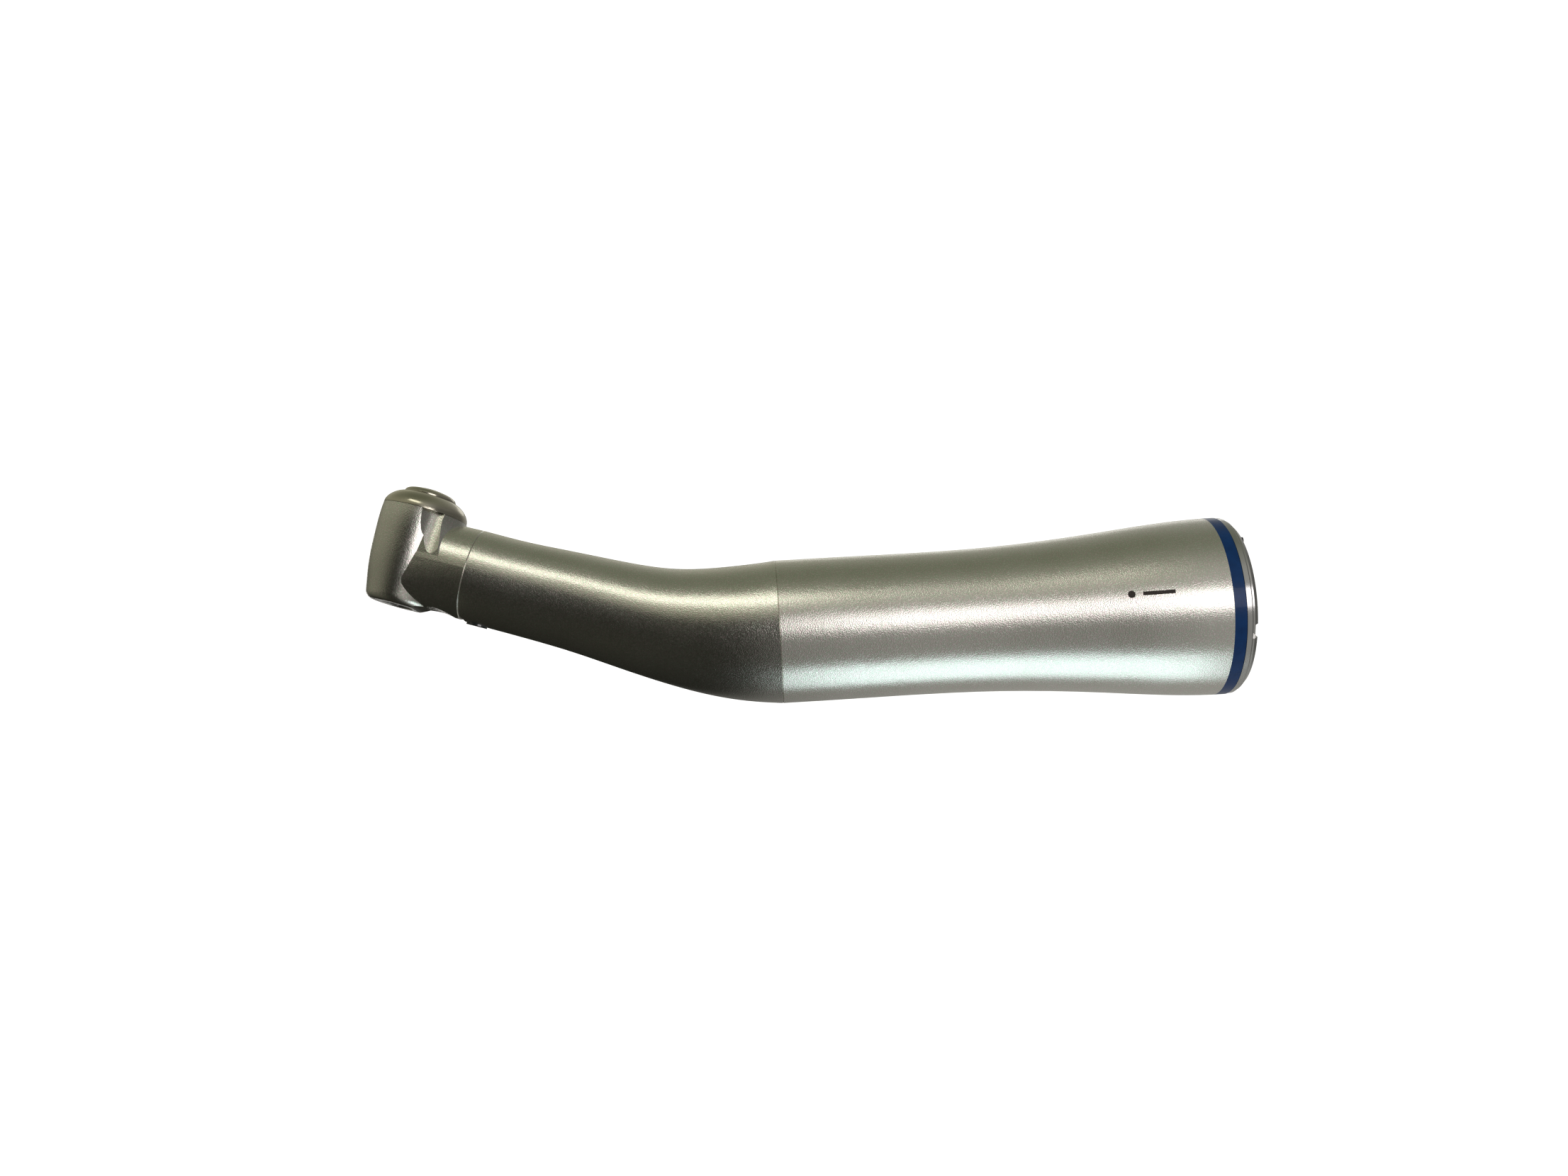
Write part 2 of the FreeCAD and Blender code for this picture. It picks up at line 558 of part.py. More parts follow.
def make_head_housing():
    barrel_edges = [smooth_edge(BARREL_SIDE),
                    Part.Arc(*[Vector(r, 0, z) for r, z in BARREL_SIDE[-1:] + BARREL_BOTTOM]).toShape()]
    barrel_edges += section_edges([BARREL_BOTTOM[-1], (0, BARREL_BOTTOM[-1][1]), (0, BARREL_SIDE[0][1]),
                                   BARREL_SIDE[0]])
    root = Part.makeLoft([root_ring(station) for station in ROOT_STATIONS], True, True)
    body = turned_wire(barrel_edges).fuse([placed(placed(root, NECK), HEAD.inverse()), head_flare()])
    body = body.cut(chin_cutter())
    body = body.cut(scoop(1)).cut(scoop(-1))
    spigot = placed(placed(tube(4.44, 3.0, HEAD_SEAM - 0.5, 8.60), NECK), HEAD.inverse())
    body = body.fuse(spigot).removeSplitter()
    low, high = HEAD_BEARINGS_AT
    seat, width = HEAD_BEARING[1] + RUNNING_GAP, HEAD_BEARING[2]
    mouth = NOSE_RING[1] + RUNNING_GAP
    bore = turned([(0, -5.6), (mouth, -5.6), (mouth, low), (seat, low),
                   (seat, low + width + 0.2), (BARREL_BORE, low + width + 0.3), (BARREL_BORE, high - 0.1),
                   (seat, high), (seat, CAP_THREAD_END), (CAP_THREAD, CAP_THREAD_END), (CAP_THREAD, 5.6), (0, 5.6)])
    body = body.cut(bore)
    neck_bore = turned([(0, 0), (NECK_BEARING[1] + RUNNING_GAP, 0), (NECK_BEARING[1] + RUNNING_GAP, 6.10),
                        (3.44, 6.10), (3.44, 9.0), (0, 9.0)])
    body = body.cut(placed(placed(neck_bore, NECK), HEAD.inverse()))
    for cutter in (seam_groove(), seam_bevels(NECK_SEAM_RADIUS, HEAD_SEAM)):
        body = body.cut(placed(placed(cutter, NECK), HEAD.inverse()))
    for angle in (WATER_ANGLE, AIR_ANGLE):
        port = placed(rod(TUBE_BORE, 5.2, 9.0, polar(SERVICE_RADII[2], angle, 0)), NECK)
        body = body.cut(placed(port, HEAD.inverse()))
    export("head_housing", body.Solids[0], HEAD)


def make_head_cap():
    crown, lip = CAP_DOME[-1], CAP_LIP
    edges = [smooth_edge(CAP_DOME)]
    edges += section_edges([crown, (CAP_MOUTH, crown[1] - 0.13), (CAP_MOUTH, lip), (CAP_CAVITY, lip),
                            (CAP_CAVITY, CAP_THREAD_END + 0.05),
                            (CAP_THREAD - RUNNING_GAP, CAP_THREAD_END + 0.05),
                            (CAP_THREAD - RUNNING_GAP, CAP_SEAM), CAP_DOME[0]])
    export("head_cap", turned_wire(edges), HEAD)
    export("button_retainer", tube(CAP_CAVITY, 1.75, 5.84, 6.06), HEAD)
    high = HEAD_BEARINGS_AT[1] + HEAD_BEARING[2]
    export("preload_washer", tube(3.12, 2.68, high, 5.84), HEAD)


def make_push_button():
    dome = Part.BSplineCurve()
    dome.interpolate([Vector(r, 0, z) for r, z in BUTTON_DOME + [(0, BUTTON_TOP)]])
    flange, bottom, top = BUTTON_FLANGE
    cavity, ceiling = BUTTON_CAVITY
    edges = [dome.toShape()]
    edges += section_edges([(0, BUTTON_TOP), (0, 6.95), (0.7, 6.95), (0.7, ceiling), (cavity, ceiling),
                            (cavity, bottom), (flange, bottom), (flange, top), (BUTTON_RADIUS, top),
                            BUTTON_DOME[0]])
    export("push_button", turned_wire(edges), HEAD)
    wire = 0.14
    export("button_spring", coil_spring(wire, 2.2, 3, 6.06 + wire, ceiling - wire), HEAD)


def make_chuck():
    low = HEAD_BEARINGS_AT[0] + HEAD_BEARING[2]
    step = SPINDLE_RADIUS + 0.09
    export("chuck_spindle", turned([(SHANK_RADIUS, SPINDLE_BOTTOM), (SPINDLE_RADIUS, SPINDLE_BOTTOM),
                                    (SPINDLE_RADIUS, low), (step, low), (step, 1.6), (SPINDLE_RADIUS, 1.6),
                                    (SPINDLE_RADIUS, SPINDLE_TOP), (COLLET_RADIUS, SPINDLE_TOP),
                                    (COLLET_RADIUS, COLLET_BOTTOM), (SHANK_RADIUS, COLLET_BOTTOM)]), HEAD)
    collet = tube(COLLET_RADIUS - 0.01, SHANK_RADIUS, COLLET_BOTTOM, COLLET_TOP)
    for angle in (0, 120, 240):
        slot = Part.makeBox(2, 0.22, 4.2, Vector(0, -0.11, 0.4))
        slot.rotate(ORIGIN, UP, angle)
        collet = collet.cut(slot)
    export("spring_collet", collet, HEAD)
    pin = [(0, 5.35), (1.10, 5.35), (1.10, 6.50), (1.35, 6.50), (1.35, 6.86), (0, 6.86)]
    export("release_pin", turned(pin), HEAD)
    gear = bevel_gear(HEAD_TEETH, HEAD_PITCH_RADIUS, 45, 0.80, SPINDLE_RADIUS, 1.97, HEAD_BEARINGS_AT[1], 0.5, True)
    export("spindle_gear", gear, HEAD)
    inner, outer = NOSE_RING
    ring_top, face = HEAD_BEARINGS_AT[0] - 0.02, BARREL_BOTTOM[-1][1]
    ring = turned([(inner + 0.10, face), (outer - 0.08, face), (outer, face + 0.08), (outer, ring_top),
                   (inner, ring_top), (inner, face + 0.10)])
    export("nose_ring", ring.cut(chin_cutter()), HEAD)


# ---------------------------------------------------------------- build
make_rear_sheath()
make_rings()
make_coupling_body()
make_shaft_carrier()
make_drive_shaft()
export_bearings("drive", DRIVE_BEARING, DRIVE_BEARINGS_AT, ("rear", "front"), HANDLE)
make_neck_sheath()
make_neck_sleeve()
make_neck_shaft()
export_bearings("neck", NECK_BEARING, NECK_BEARINGS_AT, ("front", "rear"), NECK)
export("light_guide", service_line(LIGHT_ANGLE, SERVICE_FRONT, LIGHT_GUIDE_RADIUS))
export("water_tube", service_line(WATER_ANGLE, SERVICE_FRONT, TUBE_RADIUS, TUBE_BORE))
export("air_tube", service_line(AIR_ANGLE, SERVICE_FRONT, TUBE_RADIUS, TUBE_BORE))
make_head_housing()
make_head_cap()
make_push_button()
make_chuck()
export_bearings("head", HEAD_BEARING, HEAD_BEARINGS_AT, ("lower", "upper"), HEAD)
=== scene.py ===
"""Studio scene of a contra-angle dental handpiece around its CAD frame. Lengths are metres."""
import json
import math

import bpy
from mathutils import Matrix, Vector


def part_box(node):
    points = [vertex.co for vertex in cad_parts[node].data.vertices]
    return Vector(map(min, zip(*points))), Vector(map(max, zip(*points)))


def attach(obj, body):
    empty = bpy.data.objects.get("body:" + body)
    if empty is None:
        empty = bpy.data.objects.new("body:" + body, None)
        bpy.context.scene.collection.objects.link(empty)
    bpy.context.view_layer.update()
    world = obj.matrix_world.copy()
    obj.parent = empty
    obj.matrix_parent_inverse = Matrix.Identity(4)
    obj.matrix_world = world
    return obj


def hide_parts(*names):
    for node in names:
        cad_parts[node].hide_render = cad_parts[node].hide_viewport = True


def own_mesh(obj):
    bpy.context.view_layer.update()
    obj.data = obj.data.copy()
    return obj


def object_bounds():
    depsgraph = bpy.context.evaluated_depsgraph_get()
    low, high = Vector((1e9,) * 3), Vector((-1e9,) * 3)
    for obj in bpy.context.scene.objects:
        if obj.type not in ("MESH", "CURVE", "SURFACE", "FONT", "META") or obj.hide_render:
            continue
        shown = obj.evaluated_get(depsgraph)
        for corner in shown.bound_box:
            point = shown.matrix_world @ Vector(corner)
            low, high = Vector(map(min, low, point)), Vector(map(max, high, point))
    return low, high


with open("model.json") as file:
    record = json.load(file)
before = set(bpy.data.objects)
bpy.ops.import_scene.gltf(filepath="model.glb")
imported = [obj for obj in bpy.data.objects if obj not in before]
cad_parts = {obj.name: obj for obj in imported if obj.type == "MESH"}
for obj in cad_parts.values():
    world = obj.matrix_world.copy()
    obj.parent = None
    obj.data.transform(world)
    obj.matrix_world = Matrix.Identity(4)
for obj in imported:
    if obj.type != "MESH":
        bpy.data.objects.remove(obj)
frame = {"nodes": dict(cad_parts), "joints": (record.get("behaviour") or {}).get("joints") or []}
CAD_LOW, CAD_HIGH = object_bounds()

MM = 0.001
MICRON = 0.001 * MM
NODES = frame["nodes"]


# ---------------------------------------------------------------- shader maths
class Wire:
    """One socket of a material's node tree, with the arithmetic that the finishes use."""

    def __init__(self, tree, socket):
        self.tree, self.socket = tree, socket

    def node(self, kind, sockets=None, **settings):
        """Add a node: settings first, then the values or links of its input sockets."""
        made = self.tree.nodes.new(kind)
        for name, value in settings.items():
            if name == "stops":
                ramp = made.color_ramp
                while len(ramp.elements) < len(value):
                    ramp.elements.new(0.5)
                for stop, (place, colour) in zip(ramp.elements, value):
                    stop.position, stop.color = place, colour
            else:
                setattr(made, name, value)
        for key, value in (sockets or {}).items():
            if isinstance(value, Wire):
                self.tree.links.new(value.socket, made.inputs[key])
            else:
                made.inputs[key].default_value = value
        return made

    def out(self, made, key=0):
        return Wire(self.tree, made.outputs[key])

    def math(self, operation, *values):
        """A Math node on this value and the others."""
        made = self.node("ShaderNodeMath", dict(enumerate((self,) + values)), operation=operation)
        return self.out(made)

    def __add__(self, other):
        return self.math("ADD", other)

    def __sub__(self, other):
        return self.math("SUBTRACT", other)

    def __mul__(self, other):
        return self.math("MULTIPLY", other)

    def __rsub__(self, other):
        return (self * -1.0) + other

    __radd__ = __add__
    __rmul__ = __mul__

    def stretch(self, low, high):
        """The value with low..high spread over 0..1 and cut off outside."""
        return self.out(self.node("ShaderNodeMapRange", {0: self, 1: low, 2: high}, clamp=True))

    def blend(self, first, second):
        """Colour mix from first to second by this value."""
        made = self.node("ShaderNodeMix", {0: self, 6: first, 7: second}, data_type="RGBA")
        return self.out(made, 2)

    def noise(self, scale, detail=2.0, roughness=0.5):
        """Noise at scale features per metre, on this vector."""
        sockets = {"Vector": self, "Scale": scale, "Detail": detail, "Roughness": roughness}
        return self.out(self.node("ShaderNodeTexNoise", sockets))

    def scaled(self, x, y, z):
        """This vector with each axis multiplied, which draws a pattern out along the small ones."""
        return self.out(self.node("ShaderNodeMapping", {0: self, 3: (x, y, z)}))

    def bump(self, distance):
        """Normal from this height, in metres of relief."""
        return self.out(self.node("ShaderNodeBump", {"Height": self, "Distance": distance}))


def new_material(name):
    """An empty principled material: its tree, its shader and the object's own coordinates."""
    material = bpy.data.materials.new(name)
    material.use_nodes = True
    tree = material.node_tree
    shader = tree.nodes["Principled BSDF"]
    place = Wire(tree, tree.nodes.new("ShaderNodeTexCoord").outputs["Object"])
    return material, tree, shader, place


def feed(tree, shader, **values):
    """Link or set the shader's sockets; an underscore in a name stands for a space."""
    for name, value in values.items():
        socket = shader.inputs[name.replace("_", " ")]
        if isinstance(value, Wire):
            tree.links.new(value.socket, socket)
        else:
            socket.default_value = value


def rgb(red, green, blue):
    return (red, green, blue, 1.0)


def shade(colour, factor):
    return rgb(*[channel * factor for channel in colour])


# ---------------------------------------------------------------- finishes
def blasted_satin():
    """Glass-bead blasted steel: fine sparkling dimples over a faint cloudiness, slightly olive."""
    material, tree, shader, place = new_material("blasted_satin")
    dimple = place.noise(8600, 1.0, 0.6).stretch(0.36, 0.64)
    grain = place.noise(4700, 1.0, 0.6)
    cloud = place.noise(260, 2.0)
    steel = cloud.stretch(0.35, 0.65).blend(rgb(0.62, 0.61, 0.545), rgb(0.66, 0.65, 0.595))
    tinge = place.noise(5600, 0.0).stretch(0.38, 0.62).blend(rgb(0.74, 0.60, 0.62), rgb(0.55, 0.68, 0.55))
    flake = dimple.stretch(0.72, 1.0)
    tinged = (0.7 * grain).blend(steel, tinge)
    feed(tree, shader, Base_Color=(0.4 * flake).blend(tinged, rgb(0.95, 0.94, 0.91)), Metallic=1.0,
         Roughness=0.20 + 0.06 * grain.stretch(0.3, 0.7) + 0.02 * cloud,
         Normal=(dimple + 0.6 * grain).bump(4.8 * MICRON))
    return material


def polished(name, colour, roughness, waviness=1.2 * MICRON):
    """Polished metal with hairline scratches and a trace of handling haze."""
    material, tree, shader, place = new_material(name)
    haze = place.noise(700, 3.0)
    hairline = place.scaled(1, 14, 14).noise(1500, 2.0)
    scratch = place.scaled(6, 1, 1).noise(2600, 1.0).stretch(0.62, 0.70)
    tone = haze.stretch(0.3, 0.7).blend(shade(colour, 0.93), rgb(*colour))
    feed(tree, shader, Base_Color=tone, Metallic=1.0,
         Roughness=roughness + 0.04 * haze.stretch(0.35, 0.75) + 0.05 * scratch,
         Normal=(hairline + 0.5 * haze).bump(waviness))
    return material


def turned_steel(name, colour, roughness, pitch, axis):
    """Lathe-turned or ground metal: fine grooves around an axis of the piece, pitch in metres."""
    material, tree, shader, place = new_material(name)
    dot = place.node("ShaderNodeVectorMath", {0: place, 1: axis}, operation="DOT_PRODUCT")
    along = place.out(dot, 1)
    groove = (along * (2 * math.pi / pitch)).math("SINE")
    chatter = place.noise(1800, 2.0)
    haze = place.noise(500, 3.0)
    tone = haze.stretch(0.3, 0.7).blend(shade(colour, 0.85), rgb(*colour))
    feed(tree, shader, Base_Color=tone, Metallic=1.0,
         Roughness=roughness + 0.08 * haze.stretch(0.35, 0.75),
         Normal=(0.5 * groove + chatter).bump(2.2 * MICRON))
    return material


def enamel():
    """Glossy deep blue enamel with a little depth and orange peel."""
    material, tree, shader, place = new_material("blue_enamel")
    depth = place.noise(900, 2.0)
    blue = depth.stretch(0.3, 0.7).blend(rgb(0.0, 0.036, 0.150), rgb(0.001, 0.048, 0.195))
    feed(tree, shader, Base_Color=blue,
         Roughness=0.30 + 0.06 * depth, Specular_IOR_Level=0.18, Coat_Weight=0.14, Coat_Roughness=0.05,
         Normal=depth.bump(2 * MICRON))
    return material


def black_oxide():
    """Blackened pin steel with rubbed, paler spots."""
    material, tree, shader, place = new_material("black_oxide")
    rubbed = place.noise(2400, 3.0).stretch(0.55, 0.75)
    feed(tree, shader, Base_Color=rubbed.blend(rgb(0.012, 0.012, 0.013), rgb(0.09, 0.09, 0.095)),
         Metallic=0.6, Roughness=0.42 - 0.12 * rubbed, Normal=rubbed.bump(3 * MICRON))
    return material


def smoked_lens():
    """Dark glass of the light window: nearly black, glossy, cloudy in its depth."""
    material, tree, shader, place = new_material("smoked_lens")
    depth = place.noise(1500, 3.0)
    smoke = depth.stretch(0.35, 0.65).blend(rgb(0.010, 0.013, 0.014), rgb(0.035, 0.042, 0.045))
    feed(tree, shader, Base_Color=smoke,
         Roughness=0.05 + 0.05 * depth, IOR=1.52, Coat_Weight=1.0, Coat_Roughness=0.02,
         Normal=depth.bump(MICRON))
    return material


def fibre_rod():
    """Glass fibre bundle of the light guide, drawn lengthwise."""
    material, tree, shader, place = new_material("fibre_rod")
    strand = place.scaled(0.05, 1, 1).noise(9000, 1.0)
    glass = strand.stretch(0.3, 0.7).blend(rgb(0.62, 0.68, 0.66), rgb(0.86, 0.90, 0.88))
    feed(tree, shader, Base_Color=glass, Roughness=0.10 + 0.12 * strand, IOR=1.50,
         Transmission_Weight=0.55, Normal=strand.bump(4 * MICRON))
    return material


def cage_resin():
    """Brown fabric-filled resin of the bearing cages."""
    material, tree, shader, place = new_material("cage_resin")
    warp = place.scaled(1, 6, 1).noise(2400, 2.0)
    weft = place.scaled(1, 1, 6).noise(2400, 2.0)
    weave = (warp + weft).stretch(0.7, 1.3)
    feed(tree, shader, Base_Color=weave.blend(rgb(0.13, 0.055, 0.018), rgb(0.30, 0.155, 0.060)),
         Roughness=0.48 + 0.15 * weave, Normal=weave.bump(8 * MICRON))
    return material


def paint(finish, *names):
    """Give CAD nodes a finish."""
    for name in names:
        NODES[name].data.materials.clear()
        NODES[name].data.materials.append(finish)


# Grooves run round these axes. The neck leans 18 degrees, and the head is square to the neck.
ALONG_HANDLE = (1.0, 0.0, 0.0)
ALONG_NECK = (0.951, 0.0, -0.309)
ALONG_HEAD = (0.309, 0.0, 0.951)
FINE_PITCH, TURNED_PITCH, DRAWN_PITCH = 90 * MICRON, 160 * MICRON, 300 * MICRON
BEARING_RINGS = [name for name in NODES if name.endswith("_ring") and "_bearing_" in name]

paint(blasted_satin(), "rear_sheath", "neck_sheath", "head_housing")
paint(polished("cap_polish", (0.50, 0.475, 0.385), 0.17), "head_cap", "push_button")
paint(polished("ring_chrome", (0.52, 0.52, 0.505), 0.15), "collar_ring", "end_ring")
paint(turned_steel("nose_steel", (0.52, 0.52, 0.50), 0.20, 120 * MICRON, ALONG_HEAD), "nose_ring")
paint(enamel(), "colour_ring")
paint(black_oxide(), "locating_pin")
paint(smoked_lens(), "light_window")
paint(fibre_rod(), "light_guide")
paint(cage_resin(), "drive_bearing_cages", "neck_bearing_cages", "head_bearing_cages")
paint(polished("bearing_mirror", (0.74, 0.74, 0.745), 0.07), *BEARING_RINGS)
paint(polished("ball_mirror", (0.80, 0.80, 0.81), 0.04, 0.4 * MICRON),
      "drive_bearing_balls", "neck_bearing_balls", "head_bearing_balls")
spring_steel = polished("spring_steel", (0.50, 0.49, 0.50), 0.22)
paint(spring_steel, "button_spring", "spring_collet", "coupling_clip", "neck_bearing_clip", "preload_washer",
      "button_retainer")
paint(turned_steel("coupling_nickel", (0.62, 0.60, 0.55), 0.26, TURNED_PITCH, ALONG_HANDLE),
      "coupling_body", "shaft_carrier")
paint(turned_steel("sleeve_steel", (0.58, 0.57, 0.54), 0.28, TURNED_PITCH, ALONG_NECK), "neck_sleeve")
paint(turned_steel("shaft_steel", (0.60, 0.60, 0.60), 0.18, FINE_PITCH, ALONG_HANDLE),
      "drive_shaft", "drive_dog")
paint(turned_steel("neck_shaft_steel", (0.60, 0.60, 0.60), 0.18, FINE_PITCH, ALONG_NECK), "neck_shaft")
paint(turned_steel("spindle_steel", (0.56, 0.56, 0.55), 0.17, FINE_PITCH, ALONG_HEAD),
      "chuck_spindle", "release_pin")
paint(polished("gear_steel", (0.50, 0.49, 0.46), 0.24, 3 * MICRON),
      "drive_gear", "neck_gear", "pinion_gear", "spindle_gear")
paint(turned_steel("tube_steel", (0.64, 0.64, 0.63), 0.22, DRAWN_PITCH, ALONG_NECK),
      "air_tube", "water_tube")

# ---------------------------------------------------------------- button spring
JOINTS = {joint["name"]: joint for joint in frame["joints"]}
SPRING_RADIUS = 2.20 * MM       # to the middle of the wire
SPRING_TURNS = 3
SPRING_HEIGHT = 1.24 * MM       # at rest, over the wire
WIRE_RADIUS = 0.14 * MM
WIRE_SIDES = 14
STEPS_PER_TURN = 48


def head_frame():
    """The head's own frame: on the chuck's axis, z towards the button and y as the whole model's."""
    axis = Vector(JOINTS["chuck_spin"]["axis"]).normalized()
    sideways = Vector((0, 1, 0))
    turn = Matrix((sideways.cross(axis), sideways, axis)).transposed()
    return Matrix.Translation(Vector(JOINTS["chuck_spin"]["pos_m"])) @ turn.to_4x4()


def apply_modifier(piece, name):
    bpy.context.view_layer.objects.active = piece
    bpy.ops.object.modifier_apply(modifier=name)


def select_boundary():
    bpy.ops.mesh.select_all(action="DESELECT")
    bpy.ops.mesh.select_non_manifold()


def wind_button_spring():
    """Round-wire coil under the button, with both wire ends closed."""
    head = head_frame()
    low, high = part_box("button_spring")
    middle = (head.inverted() @ ((low + high) / 2)).z
    bottom = middle - SPRING_HEIGHT / 2
    bpy.ops.mesh.primitive_circle_add(vertices=WIRE_SIDES, radius=WIRE_RADIUS, rotation=(math.pi / 2, 0, 0),
                                      location=(SPRING_RADIUS, 0, bottom + WIRE_RADIUS))
    coil = bpy.context.object
    bpy.ops.object.transform_apply(location=True, rotation=True, scale=True)
    winding = coil.modifiers.new("winding", "SCREW")
    winding.axis, winding.angle = "Z", 2 * math.pi * SPRING_TURNS
    winding.screw_offset = SPRING_HEIGHT - 2 * WIRE_RADIUS
    winding.steps = winding.render_steps = STEPS_PER_TURN * SPRING_TURNS
    winding.use_smooth_shade = True
    apply_modifier(coil, "winding")
    bpy.ops.object.mode_set(mode="EDIT")
    select_boundary()
    bpy.ops.mesh.fill_holes(sides=0)
    bpy.ops.mesh.select_all(action="SELECT")
    bpy.ops.mesh.normals_make_consistent(inside=False)
    bpy.ops.object.mode_set(mode="OBJECT")
    coil.data.transform(head)
    coil.name = "wound_spring"
    coil.data.materials.append(spring_steel)
    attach(coil, "handpiece")
    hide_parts("button_spring")
    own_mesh(coil)


# ---------------------------------------------------------------- etched index mark
INDEX_X, INDEX_Z = -10.5 * MM, 0.6 * MM      # the bar's middle
BAR_LENGTH, BAR_HEIGHT = 3.4 * MM, 0.42 * MM
DOT_DIAMETER = 0.80 * MM
BAR_CUTS, DOT_SIDES = 20, 32
DOT_GAP = 2.9 * MM                           # from the bar's middle to the dot's
MARK_RELIEF = 0.012 * MM                     # over the steel, so that the two faces don't flicker
MARK_DEPTH = 0.060 * MM


def etched_brown():
    """Laser-darkened steel, dull and slightly mottled."""
    material, tree, shader, place = new_material("etched_brown")
    burn = place.noise(6500, 2.0)
    brown = burn.stretch(0.35, 0.7).blend(rgb(0.020, 0.015, 0.012), rgb(0.060, 0.048, 0.042))
    feed(tree, shader, Base_Color=brown, Metallic=0.3, Roughness=0.50 + 0.15 * burn,
         Normal=burn.bump(3 * MICRON))
    return material


def beside_sheath(x, z):
    """A place off the sheath's near side, where a flat outline starts."""
    return (x, CAD_LOW.y - MM, z)


def bar_outline(x, z):
    """Upright flat bar, cut into a grid that can follow the sheath."""
    bpy.ops.mesh.primitive_plane_add(size=1, location=beside_sheath(x, z), rotation=(math.pi / 2, 0, 0))
    bar = bpy.context.object
    bar.scale = (BAR_LENGTH, BAR_HEIGHT, 1)
    bpy.ops.object.transform_apply(location=True, rotation=True, scale=True)
    bpy.ops.object.mode_set(mode="EDIT")
    bpy.ops.mesh.subdivide(number_cuts=BAR_CUTS)
    bpy.ops.object.mode_set(mode="OBJECT")
    return bar


def dot_outline(x, z):
    """Upright flat disc."""
    bpy.ops.mesh.primitive_circle_add(vertices=DOT_SIDES, radius=DOT_DIAMETER / 2, fill_type="TRIFAN",
                                      location=beside_sheath(x, z), rotation=(math.pi / 2, 0, 0))
    bpy.ops.object.transform_apply(location=True, rotation=True, scale=True)
    return bpy.context.object


def etch(name, finish, mark):
    """Lay a flat outline on the near side of the rear sheath and thicken it into the steel."""
    wrap = mark.modifiers.new("wrap", "SHRINKWRAP")
    wrap.target, wrap.wrap_method = NODES["rear_sheath"], "PROJECT"
    wrap.use_project_x, wrap.use_project_y, wrap.use_project_z = False, True, False
    wrap.use_positive_direction = wrap.use_negative_direction = True
    wrap.cull_face, wrap.offset = "BACK", MARK_RELIEF
    apply_modifier(mark, "wrap")
    body = mark.modifiers.new("body", "SOLIDIFY")
    body.thickness, body.offset = MARK_DEPTH, -1.0
    apply_modifier(mark, "body")
    bpy.ops.object.mode_set(mode="EDIT")
    bpy.ops.mesh.select_all(action="SELECT")
    bpy.ops.mesh.normals_make_consistent(inside=False)
    bpy.ops.object.mode_set(mode="OBJECT")
    mark.name = name
    mark.data.materials.append(finish)
    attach(mark, "handpiece")


bpy.ops.object.select_all(action="DESELECT")
wind_button_spring()
etched = etched_brown()
etch("index_bar", etched, bar_outline(INDEX_X, INDEX_Z))
etch("index_dot", etched, dot_outline(INDEX_X - DOT_GAP, INDEX_Z))

# ---------------------------------------------------------------- studio
FLOOR_DROP = 0.060              # clear height under the handpiece
AIM = Vector((-0.050, 0, 0.004))   # middle of the handpiece, where the lights point
FLOOR_WIDTH = 12.0
WALL_SIDES = 96
WALL_RADIUS, WALL_HEIGHT, WALL_SINK = 5.0, 8.0, 0.1


def softbox(name, azimuth, elevation, height, colour, power, width=0.30, distance=0.60, roll=0):
    """Area light that faces the handpiece. Angles are degrees, azimuth 0 is the viewer's side."""
    turn, rise = math.radians(azimuth), math.radians(elevation)
    away = Vector((math.sin(turn) * math.cos(rise), -math.cos(turn) * math.cos(rise), math.sin(rise)))
    lamp = bpy.data.lights.new(name, "AREA")
    lamp.shape, lamp.size, lamp.size_y = "RECTANGLE", width, height
    lamp.color, lamp.energy = colour, power
    holder = bpy.data.objects.new(name, lamp)
    bpy.context.scene.collection.objects.link(holder)
    holder.location = AIM + away * distance
    holder.rotation_euler = away.to_track_quat("Z", "Y").to_euler()
    holder.rotation_euler.rotate_axis("Z", math.radians(roll))


softbox("window_low", 18, 1, height=0.24, colour=(1.0, 0.945, 0.965), power=0.62)
softbox("window_high", -17, 47, height=0.15, colour=(1.0, 0.985, 0.87), power=0.29, roll=-20)
softbox("table_glow", 88, -77, height=0.10, colour=(0.78, 0.95, 1.0), power=0.078, width=0.16,
        distance=0.22)
softbox("back_low", 200, 8, height=0.16, colour=(1.0, 0.98, 0.95), power=0.20)
softbox("back_high", 165, 28, height=0.12, colour=(1.0, 0.99, 0.95), power=0.07)

world = bpy.data.worlds.new("studio_air")
world.use_nodes = True
bpy.context.scene.world = world
air = world.node_tree
heading = Wire(air, air.nodes.new("ShaderNodeTexCoord").outputs["Generated"])
split = heading.node("ShaderNodeSeparateXYZ", {0: heading})
rise, side = heading.out(split, 2), heading.out(split, 0)
across = 0.5 * side + 0.5                 # 0 on the head's side, 1 on the motor's side
OLIVE, NEUTRAL = (1.0, 0.98, 0.76), (1.0, 0.98, 0.93)


def surround(*stops):
    """Room light from one side to the other: each stop is a place across and a brightness."""
    tones = [(place, shade(OLIVE if place < 0.5 else NEUTRAL, level)) for place, level in stops]
    return across.out(across.node("ShaderNodeValToRGB", {0: across}, stops=tones))


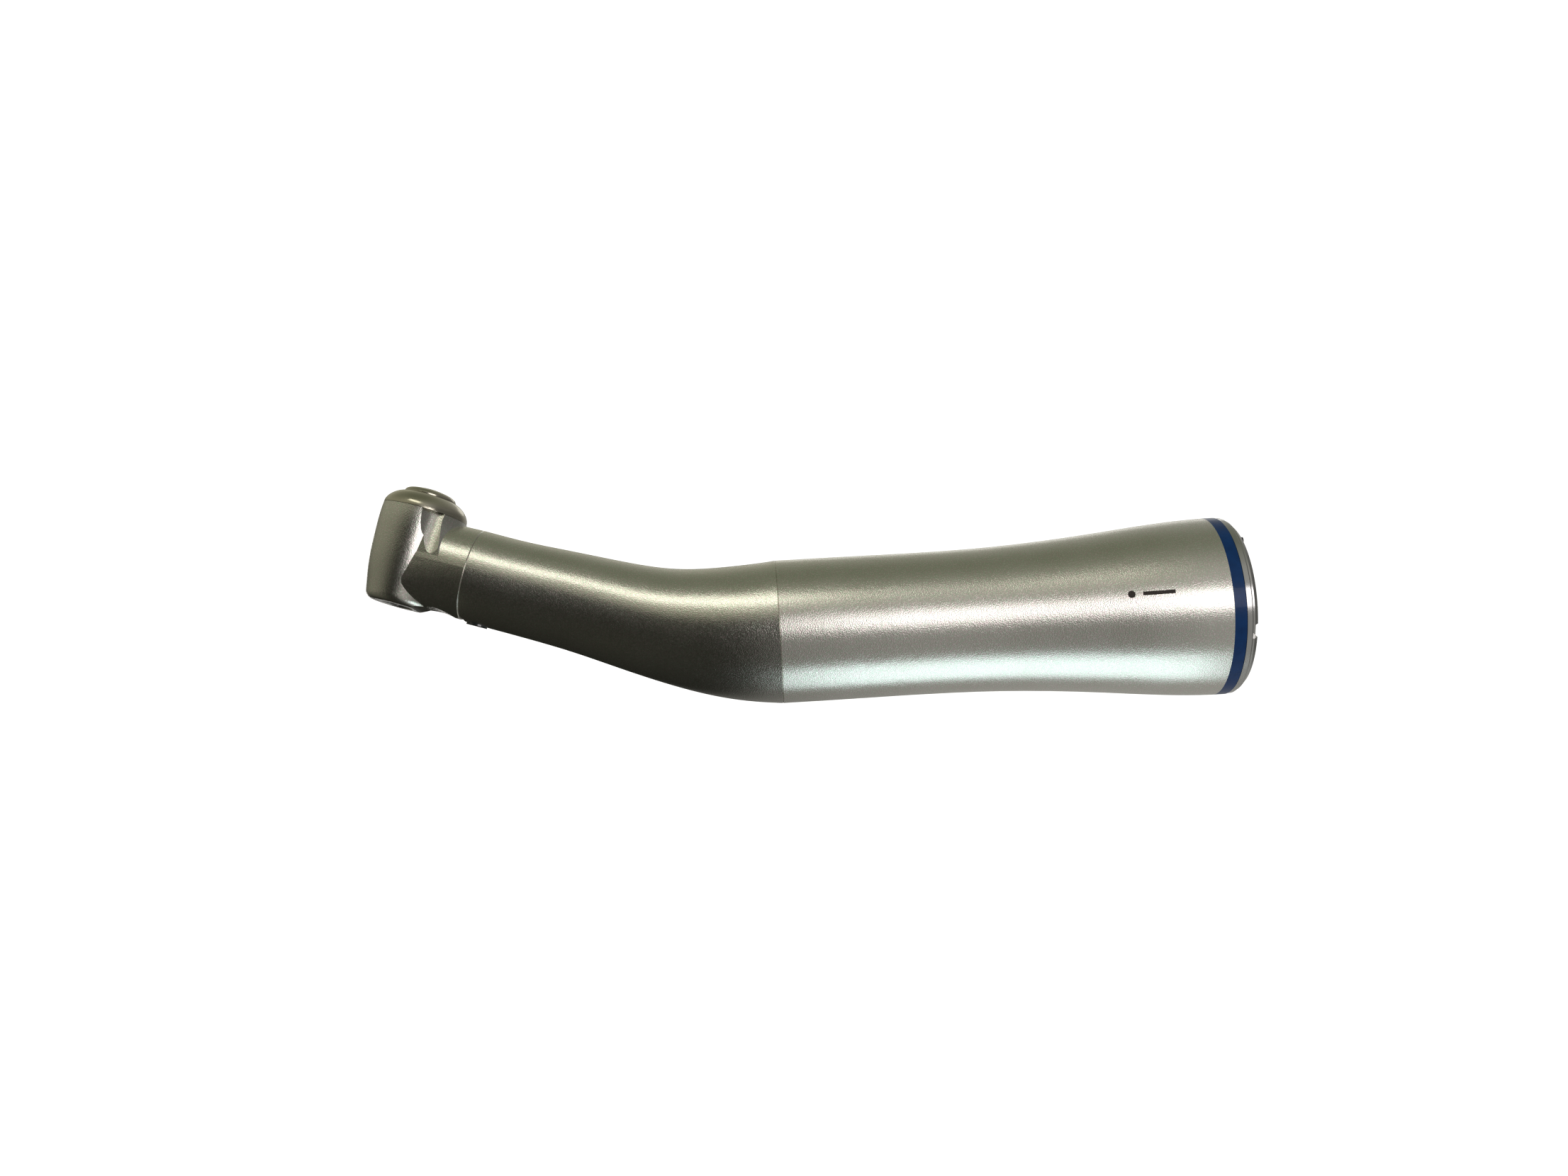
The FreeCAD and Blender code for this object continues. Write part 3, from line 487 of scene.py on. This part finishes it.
ceiling = rise.stretch(0.55, 1.0).blend(surround((0.0, 0.34), (0.4, 0.50), (0.68, 0.50), (0.88, 0.22)),
                                        rgb(0.19, 0.20, 0.145))
horizon = surround((0.0, 0.22), (0.12, 0.14), (0.25, 0.04), (0.44, 0.016), (0.57, 0.42), (0.74, 0.36),
                   (0.88, 0.15))
below = surround((0.0, 0.15), (0.2, 0.03), (0.4, 0.013), (0.575, 0.40), (0.75, 0.36), (0.9, 0.14))
bright = rise.stretch(0.20, 0.50).blend(horizon, ceiling)
feed(air, air.nodes["Background"], Color=rise.stretch(-0.20, -0.02).blend(below, bright), Strength=1.0)


def backdrop():
    """Pale floor with a round wall far out around it, which reaches a little below the floor."""
    floor_z = CAD_LOW.z - FLOOR_DROP
    wall_z = floor_z + WALL_HEIGHT / 2 - WALL_SINK
    bpy.ops.mesh.primitive_plane_add(size=FLOOR_WIDTH, location=(AIM.x, 0, floor_z))
    floor = bpy.context.object
    bpy.ops.mesh.primitive_cylinder_add(vertices=WALL_SIDES, radius=WALL_RADIUS, depth=WALL_HEIGHT,
                                        location=(AIM.x, 0, wall_z), end_fill_type="NOTHING")
    wall = bpy.context.object
    material, tree, shader, _ = new_material("pale_sweep")
    feed(tree, shader, Base_Color=rgb(0.9, 0.9, 0.9), Roughness=0.9, Specular_IOR_Level=0.0,
         Emission_Color=rgb(1, 1, 1), Emission_Strength=0.97)
    for piece, name in ((floor, "studio_floor"), (wall, "studio_wall")):
        piece.name = name
        piece.data.materials.append(material)
        piece.visible_glossy = piece.visible_diffuse = piece.visible_shadow = False


bpy.ops.object.select_all(action="DESELECT")
backdrop()

CAMERA_PLACE = Vector((-0.05368, -0.15889, -0.02041))
CAMERA_TURN = (99.085, 3.492, -0.649)     # degrees about X, Y and Z
SENSOR_WIDTH, FOCAL_LENGTH = 36.0, 32.592      # millimetres, as Blender takes them
lens = bpy.data.cameras.new("viewer")
lens.sensor_width, lens.lens = SENSOR_WIDTH, FOCAL_LENGTH
lens.clip_start, lens.clip_end = 0.01, 20.0
viewer = bpy.data.objects.new("viewer", lens)
viewer.location = CAMERA_PLACE
viewer.rotation_euler = [math.radians(angle) for angle in CAMERA_TURN]
bpy.context.scene.collection.objects.link(viewer)
bpy.context.scene.camera = viewer
bpy.context.scene.view_settings.view_transform = "Standard"
